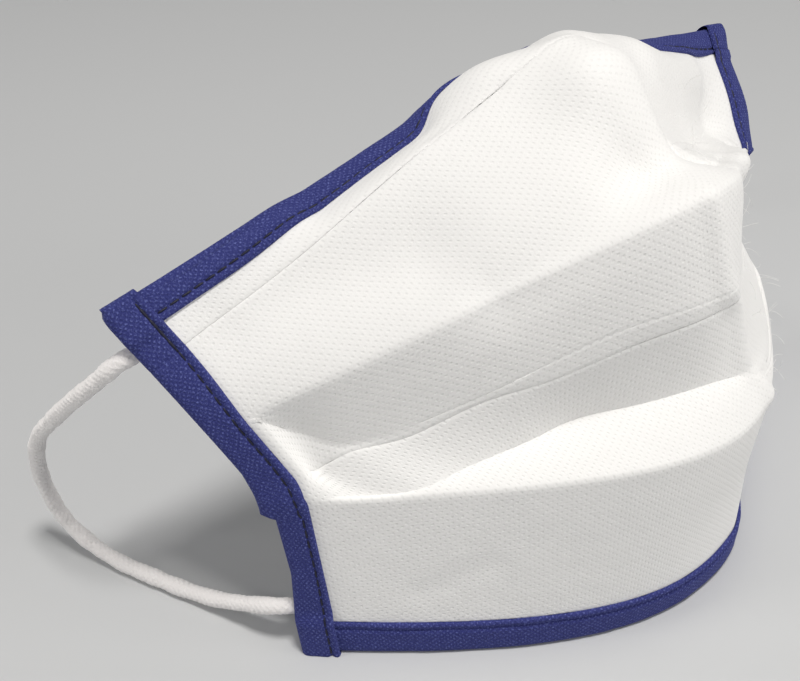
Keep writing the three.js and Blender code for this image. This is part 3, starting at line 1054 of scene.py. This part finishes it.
def tape_finish():
    """Navy fibres with raised dots that glint."""
    material, paint = new_finish("navy_binding_tape")
    dots = dot_lattice(paint, TAPE_DOT_ACROSS, TAPE_DOT_DOWN, TAPE_DOT_CORE, TAPE_DOT_EDGE)
    fibres = grain(paint, TAPE_FIBRES, 3)
    clouds = grain(paint, TAPE_CLOUDS, 2)
    glint = dots * fibres.between(*GLINTING)
    specks = fibres.between(*SPECKLED)
    pale = glint * TAPE_PALENESS["glint"] + specks * TAPE_PALENESS["specks"]
    height = fibres * TAPE_HEIGHTS["fibres"] + clouds * TAPE_HEIGHTS["clouds"]
    height = height + dots * TAPE_HEIGHTS["dots"]
    surface(paint, Base_Color=pale.mixed(NAVY, PALE_NAVY), Roughness=0.8 - glint * 0.2,
            Sheen_Weight=0.1, Sheen_Roughness=0.5, Sheen_Tint=(0.35, 0.4, 0.9, 1),
            Specular_IOR_Level=0.15, Normal=bump(paint, height))
    return material


def thread_finish():
    """Plain thread, nearly black."""
    material, paint = new_finish("dark_navy_thread")
    surface(paint, Base_Color=THREAD_NAVY, Roughness=0.55)
    return material


navy = tape_finish()
for binding in bindings:
    binding.data.materials.append(navy)
thread.data.materials.append(thread_finish())
print(f"navy tape: dots {TAPE_DOT_ACROSS} by {TAPE_DOT_DOWN} mm, with dark thread")

# %% [markdown]
# ## Knitted elastic
# The elastic is white yarn knitted round a rubber core. The lumps of the knit are already in its
# mesh, so the finish only adds what is finer: a grain for the yarn, with painted shade that makes
# its hollows a little darker and warmer, and some sheen for the hairs that stand off it.

# %% Knitted elastic
YARN_FIBRES = 2400
YARN_HEIGHT = 0.2
YARN_LIGHT = (0.97, 0.955, 0.95, 1)
YARN_PAINTED_SHADE = (0.88, 0.84, 0.83, 1)


def elastic_finish():
    """White yarn, with painted shade that makes its hollows a little darker and warmer."""
    material, paint = new_finish("white_knitted_elastic")
    fibres = grain(paint, YARN_FIBRES, 3)
    # Where the grain sinks, the yarn takes its darker, warmer colour, which is painted shade in the
    # hollows.
    surface(paint, Base_Color=(1 - fibres).mixed(YARN_LIGHT, YARN_PAINTED_SHADE), Roughness=0.95,
            Sheen_Weight=0.6, Sheen_Roughness=0.5, Specular_IOR_Level=0.2,
            Normal=bump(paint, fibres * YARN_HEIGHT))
    return material


knitted = elastic_finish()
for loop in ear_loops:
    loop.data.materials.append(knitted)
print(f"elastic finish on {len(ear_loops)} loops")

# %% [markdown]
# ## Floor and light
# The mask stands on a plain pale floor, which belongs to the stage and not to the mask. A lamp
# overhead lights all that faces up, a weaker one at the front right draws the folds, and a third
# one on the left lifts the elastic off the floor. All are broad, so the shadows are soft.

# %% Floor and light
FLOOR_SIZE = 3.0
FLOOR_GREY = (0.6, 0.61, 0.62, 1)
WARM_WHITE = (1, 0.975, 0.94)
STUDIO_STRENGTH = 0.22
MASK_MIDDLE = (0, 0, 0.05)
LEFT_LOOP = (-0.09, 0.05, 0.03)
LAMPS = [
    dict(name="key_light", place=(-0.06, -0.22, 1.0), aim=MASK_MIDDLE, size=0.22, power=6.4),
    dict(name="right_fill", place=(0.65, -1, 0.42), aim=MASK_MIDDLE, size=0.6, power=4),
    dict(name="left_side", place=(-0.9, 0.45, 0.5), aim=LEFT_LOOP, size=0.4, power=2.4),
]


def pale_floor():
    """A square floor that belongs to the stage."""
    mesh = bpy.data.meshes.new("floor")
    half = FLOOR_SIZE / 2
    mesh.from_pydata([(-half, -half, 0), (half, -half, 0), (half, half, 0), (-half, half, 0)], [],
                     [(0, 1, 2, 3)])
    floor = bpy.data.objects.new("floor", mesh)
    bpy.context.scene.collection.objects.link(floor)
    material, paint = new_finish("pale_floor")
    surface(paint, Base_Color=FLOOR_GREY, Roughness=0.8)
    mesh.materials.append(material)


def soft_light(name, place, aim, size, power):
    """A round lamp that looks from its place at its aim."""
    data = bpy.data.lights.new(name, "AREA")
    data.shape = "DISK"
    data.size = size
    data.energy = power
    data.color = WARM_WHITE
    lamp = bpy.data.objects.new(name, data)
    lamp.location = place
    lamp.rotation_euler = (Vector(aim) - Vector(place)).to_track_quat("-Z", "Y").to_euler()
    bpy.context.scene.collection.objects.link(lamp)


pale_floor()
for lamp in LAMPS:
    soft_light(**lamp)
world = bpy.data.worlds.new("studio")
world.use_nodes = True
studio = world.node_tree.nodes["Background"].inputs
studio["Color"].default_value = (1, 1, 1, 1)
studio["Strength"].default_value = STUDIO_STRENGTH
bpy.context.scene.world = world
bpy.context.scene.view_settings.view_transform = "Standard"
print(f"floor, {len(LAMPS)} lamps and a dim studio")
